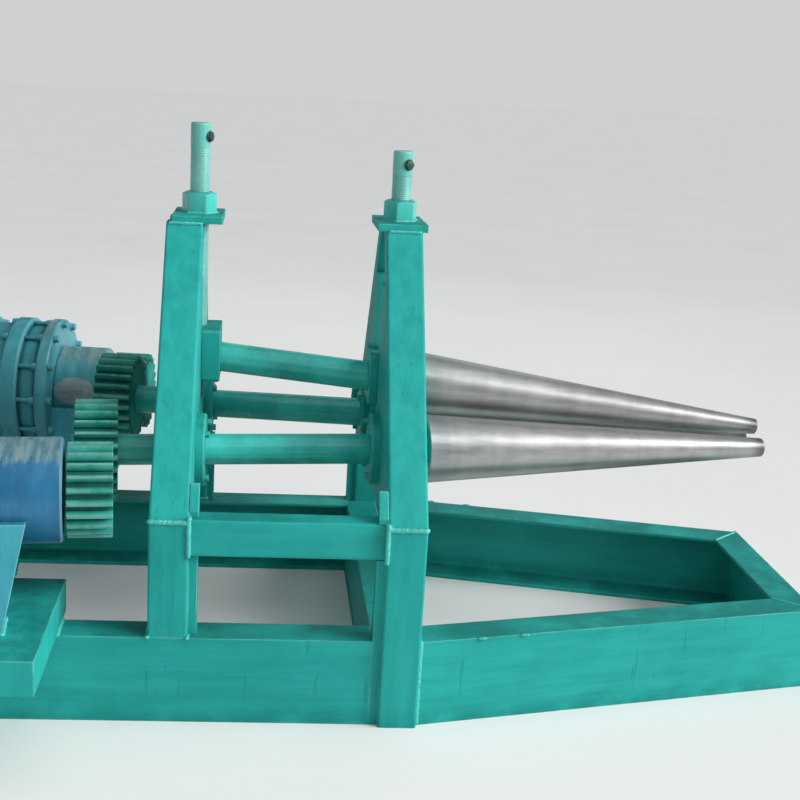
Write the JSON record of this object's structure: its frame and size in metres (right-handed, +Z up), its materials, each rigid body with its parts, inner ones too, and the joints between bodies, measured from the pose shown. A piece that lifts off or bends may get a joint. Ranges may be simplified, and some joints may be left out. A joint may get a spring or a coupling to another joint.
{
  "type": "cone plate rolling machine",
  "caption": "Small bending roll with tapered rolls carried at one end by two A-shaped stands on a channel steel base, each lower roll turned through a pinion by its own geared motor.",
  "frame": {"origin": "on the floor, under the second stand's cross sill, on the centre plane between the two lower rolls", "axes": "+X along the rolls towards their thin ends, -Y towards the working side, +Z up"},
  "size_m": [1.9065, 1.08, 0.8915],
  "materials": {
    "frame_paint": "brush-painted green enamel, semi-gloss, scuffed and dusty",
    "gear_paint": "duller green paint worn on the tooth tips, with grease",
    "blue_paint": "blue enamel, worn grey on top",
    "teal_paint": "teal-blue enamel, dusty",
    "light_blue_paint": "light blue enamel over weld beads",
    "ground_steel": "ground steel cones with painted shafts"
  },
  "bodies": {
    "base": {"cross_sill": "frame_paint", "front_fan_cowl": "blue_paint", "front_motor": "blue_paint", "front_platform": "frame_paint", "front_reducer_foot": "light_blue_paint", "front_reducer_housing": "blue_paint", "front_reducer_neck": "blue_paint", "front_sill": "frame_paint", "front_tie": "frame_paint", "left_end_sill": "frame_paint", "nose_end_rail": "frame_paint", "nose_front_rail": "frame_paint", "nose_rear_rail": "frame_paint", "rear_fan_cowl": "teal_paint", "rear_motor": "teal_paint", "rear_platform": "frame_paint", "rear_reducer_foot": "light_blue_paint", "rear_reducer_housing": "teal_paint", "rear_reducer_neck": "teal_paint", "rear_sill": "frame_paint", "stand_1_bearing_plate": "frame_paint", "stand_1_cap_plate": "frame_paint", "stand_1_front_housing": "frame_paint", "stand_1_front_leg": "frame_paint", "stand_1_nut": "frame_paint", "stand_1_rear_housing": "frame_paint", "stand_1_rear_leg": "frame_paint", "stand_2_bearing_plate": "frame_paint", "stand_2_cap_plate": "frame_paint", "stand_2_front_housing": "frame_paint", "stand_2_front_leg": "frame_paint", "stand_2_nut": "frame_paint", "stand_2_rear_housing": "frame_paint", "stand_2_rear_leg": "frame_paint"},
    "front_roll": {"front_bottom_roll": "ground_steel", "front_roll_gear": "gear_paint"},
    "rear_roll": {"rear_bottom_roll": "ground_steel", "rear_roll_gear": "gear_paint"},
    "front_pinion": {"front_pinion": "gear_paint"},
    "rear_pinion": {"rear_pinion": "gear_paint"},
    "top_carriage": {"top_block_1": "frame_paint", "top_block_2": "frame_paint"},
    "top_roll": {"top_roll": "ground_steel"},
    "screw_1": {"screw_1": "frame_paint"},
    "screw_2": {"screw_2": "frame_paint"}
  },
  "joints": [
    {"name": "front_roll_spin", "type": "hinge", "parent": "base", "child": "front_roll", "pos_m": [0, -0.112, 0.38], "axis": [0.9938, 0.1113, 0], "continuous": true},
    {"name": "rear_roll_spin", "type": "hinge", "parent": "base", "child": "rear_roll", "pos_m": [0, 0.112, 0.38], "axis": [0.9938, -0.1113, 0], "continuous": true},
    {"name": "front_pinion_spin", "type": "hinge", "parent": "base", "child": "front_pinion", "pos_m": [-0.47642, -0.30581, 0.36], "axis": [0.9938, 0.1113, 0], "continuous": true},
    {"name": "rear_pinion_spin", "type": "hinge", "parent": "base", "child": "rear_pinion", "pos_m": [-0.47642, 0.30581, 0.36], "axis": [0.9938, -0.1113, 0], "continuous": true},
    {"name": "top_lift", "type": "slide", "parent": "base", "child": "top_carriage", "axis": [0, 0, 1], "range_m": [-0.035, 0.03]},
    {"name": "top_roll_spin", "type": "hinge", "parent": "top_carriage", "child": "top_roll", "pos_m": [0, 0, 0.472], "axis": [0.995, 0, -0.0995], "continuous": true},
    {"name": "screw_1_turn", "type": "hinge", "parent": "top_carriage", "child": "screw_1", "pos_m": [-0.337, 0, 0.6], "axis": [0, 0, 1], "range_deg": [-3601, 3087]},
    {"name": "screw_2_turn", "type": "hinge", "parent": "top_carriage", "child": "screw_2", "pos_m": [-0.003, 0, 0.6], "axis": [0, 0, 1], "range_deg": [-3601, 3087]}
  ],
  "couplings": [
    {"joint": "front_pinion_spin", "follows": "front_roll_spin", "ratio": -1.1364},
    {"joint": "rear_pinion_spin", "follows": "rear_roll_spin", "ratio": -1.1364},
    {"joint": "screw_1_turn", "follows": "top_lift", "rad_per_m": 1795.2},
    {"joint": "screw_2_turn", "follows": "top_lift", "rad_per_m": 1795.2}
  ]
}
